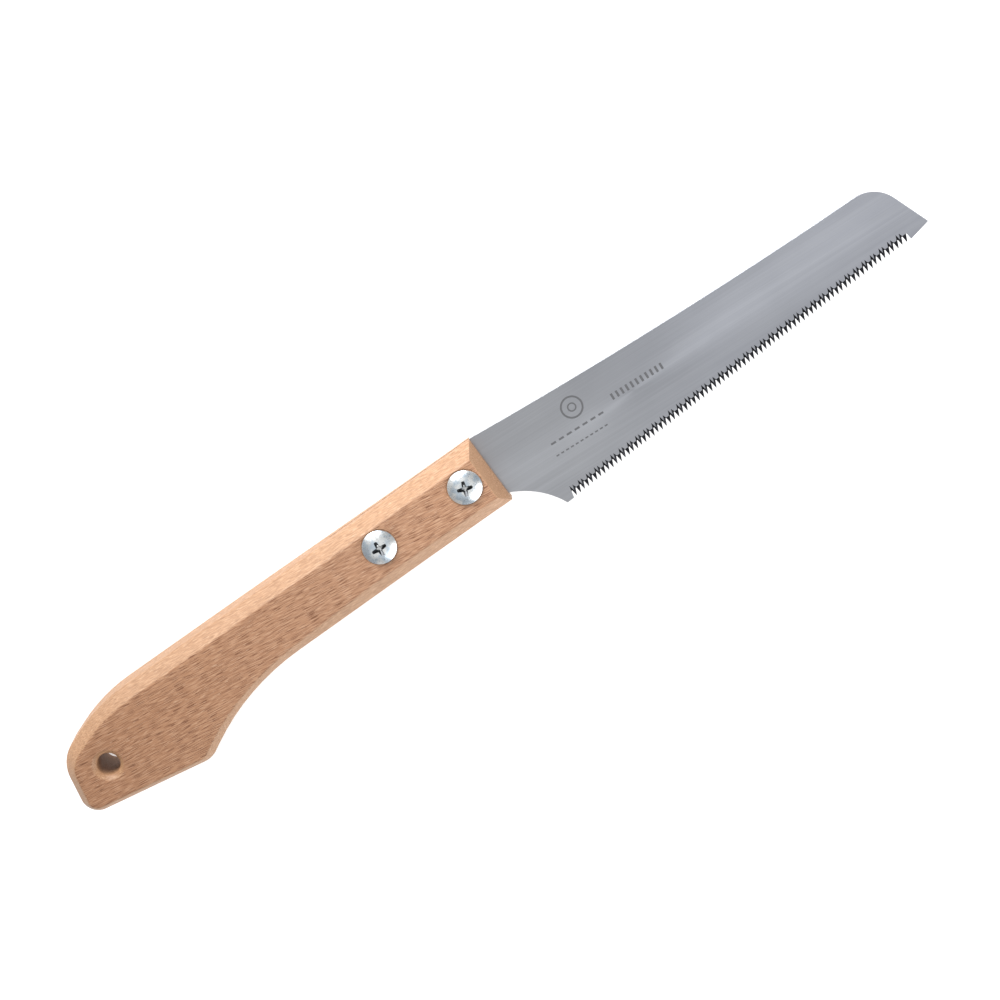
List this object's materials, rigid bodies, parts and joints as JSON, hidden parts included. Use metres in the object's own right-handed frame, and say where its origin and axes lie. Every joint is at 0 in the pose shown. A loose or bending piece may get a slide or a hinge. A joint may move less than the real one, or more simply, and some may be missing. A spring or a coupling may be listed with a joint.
{
  "type": "japanese pull saw",
  "caption": "Small pull saw: a thin toothed blade set in a slotted, chamfered wooden handle with a hanging hole, held by screws and sleeve nuts so that it can be replaced.",
  "frame": {"origin": "centre of the hanging hole, at the middle of the handle's thickness", "axes": "+X along the saw towards the blade's toe, +Y towards the blade's back, +Z square to the blade, towards the side the screws go in from"},
  "size_m": [0.3466, 0.0383, 0.0247],
  "materials": {
    "beech": "bare sanded beech",
    "blade_steel": "finely brushed along the blade",
    "zinc_screw": "bright zinc plate",
    "zinc_nut": "bright zinc plate"
  },
  "bodies": {
    "saw": {"handle": "beech", "blade": "blade_steel"},
    "front_nut": {"front_nut": "zinc_nut"},
    "front_screw": {"front_screw": "zinc_screw"},
    "rear_nut": {"rear_nut": "zinc_nut"},
    "rear_screw": {"rear_screw": "zinc_screw"}
  },
  "joints": [
    {"name": "front_nut_turn", "type": "hinge", "parent": "saw", "child": "front_nut", "pos_m": [0.156, 0.008, 0], "axis": [0, 0, -1], "range_deg": [0, 3600]},
    {"name": "front_screw_out", "type": "slide", "parent": "saw", "child": "front_screw", "axis": [0, 0, 1], "range_m": [0, 0.008]},
    {"name": "rear_nut_turn", "type": "hinge", "parent": "saw", "child": "rear_nut", "pos_m": [0.121, 0.008, 0], "axis": [0, 0, -1], "range_deg": [0, 3600]},
    {"name": "rear_screw_out", "type": "slide", "parent": "saw", "child": "rear_screw", "axis": [0, 0, 1], "range_m": [0, 0.008]}
  ],
  "couplings": [
    {"joint": "front_nut_turn", "follows": "front_screw_out", "rad_per_m": 7854},
    {"joint": "rear_nut_turn", "follows": "rear_screw_out", "rad_per_m": 7854}
  ]
}
